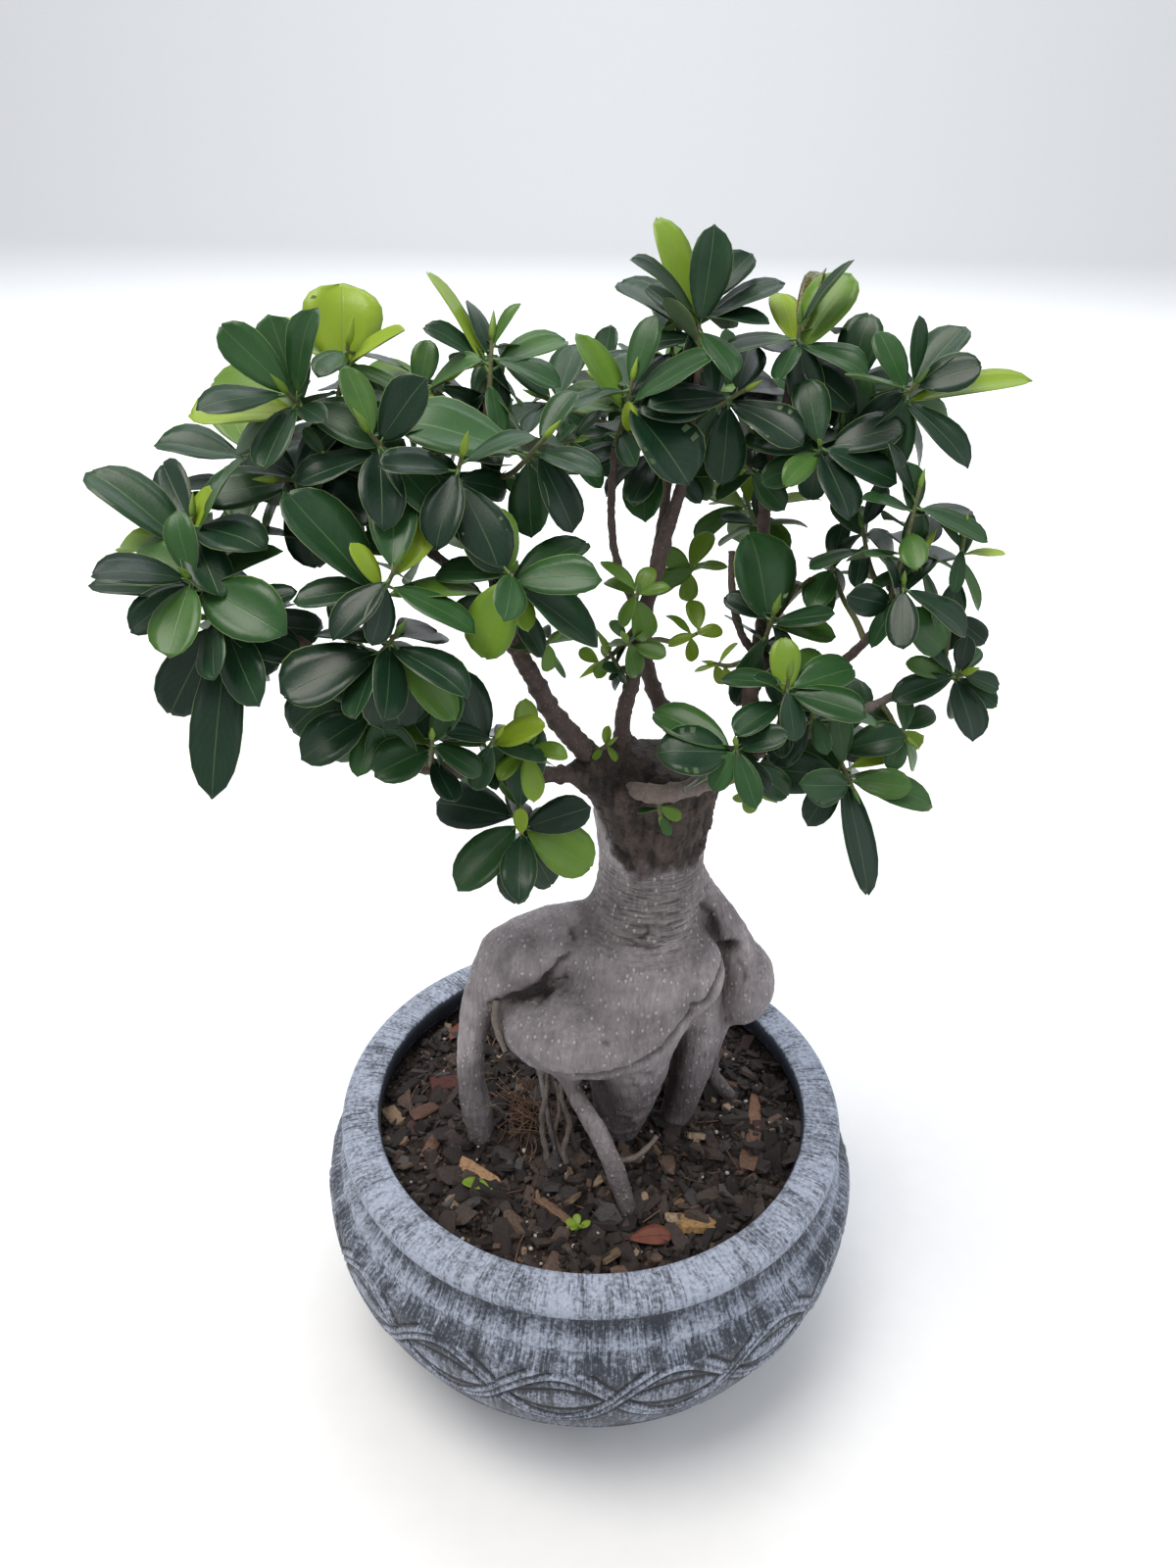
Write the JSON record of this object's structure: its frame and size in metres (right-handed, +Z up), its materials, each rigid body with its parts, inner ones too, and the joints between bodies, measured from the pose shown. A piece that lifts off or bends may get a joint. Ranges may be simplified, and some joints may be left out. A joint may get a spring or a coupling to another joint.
{
  "type": "bonsai tree in a pot",
  "caption": "Grafted ginseng ficus bonsai with a swollen root trunk and leafy limbs, planted in a round antiqued bowl pot with a wave relief.",
  "frame": {"origin": "centre of the pot's underside, which lies on the ground", "axes": "+Z up, along the pot's axis and the tree's height; the long left limb reaches towards -X; the broadest view of the tree is seen looking along +Y"},
  "size_m": [0.3879, 0.301, 0.5828],
  "materials": {
    "limb_bark": "matte",
    "leaf_dead": "matte",
    "leaf_young": "satin",
    "pot_charcoal": "matte, dry-brushed",
    "potting_soil": "matte",
    "leaf_green": "satin",
    "root_bark": "satin"
  },
  "bodies": {
    "root": {"back_limb": "limb_bark", "centre_limb": "limb_bark", "centre_side_stem": "limb_bark", "dead_leaf_back": "leaf_dead", "dead_leaf_front": "leaf_dead", "fallen_leaf": "leaf_young", "inner_stem": "limb_bark", "left_fork_limb": "limb_bark", "left_long_limb": "limb_bark", "left_low_limb": "limb_bark", "left_upper_limb": "limb_bark", "pot": "pot_charcoal", "right_fork_limb": "limb_bark", "right_low_limb": "limb_bark", "right_mid_limb": "limb_bark", "right_rising_limb": "limb_bark", "seedling": "leaf_young", "soil": "potting_soil", "spray_back_left": "leaf_green", "spray_back_mid": "leaf_green", "spray_back_right": "leaf_green", "spray_behind_right": "leaf_green", "spray_broad_leaf": "leaf_green", "spray_centre_crown": "leaf_green", "spray_centre_dark": "leaf_green", "spray_curled": "leaf_green", "spray_far_left": "leaf_green", "spray_far_right_low": "leaf_green", "spray_far_right_tip": "leaf_green", "spray_far_right_top": "leaf_green", "spray_fork_side": "leaf_green", "spray_inner_left": "leaf_green", "spray_left_back": "leaf_green", "spray_left_centre": "leaf_green", "spray_left_crown": "leaf_green", "spray_left_fork": "leaf_green", "spray_left_hanging": "leaf_green", "spray_left_inner": "leaf_green", "spray_left_shoulder": "leaf_green", "spray_low_left": "leaf_green", "spray_low_shoot": "leaf_green", "spray_mid_left_deep": "leaf_green", "spray_mid_left_low": "leaf_green", "spray_right_crown": "leaf_green", "spray_right_drop": "leaf_green", "spray_right_mid": "leaf_green", "spray_right_side": "leaf_green", "spray_right_top_low": "leaf_green", "spray_round_low": "leaf_green", "spray_small_shoot": "leaf_green", "spray_spike": "leaf_green", "spray_stub_round": "leaf_green", "spray_stub_shoot": "leaf_green", "spray_top_left": "leaf_green", "spray_top_mid": "leaf_green", "spray_top_right": "leaf_green", "spray_top_spike": "leaf_green", "spray_wide_leaf": "leaf_green", "spray_young_crown": "leaf_green", "trunk": "root_bark"}
  },
  "joints": []
}
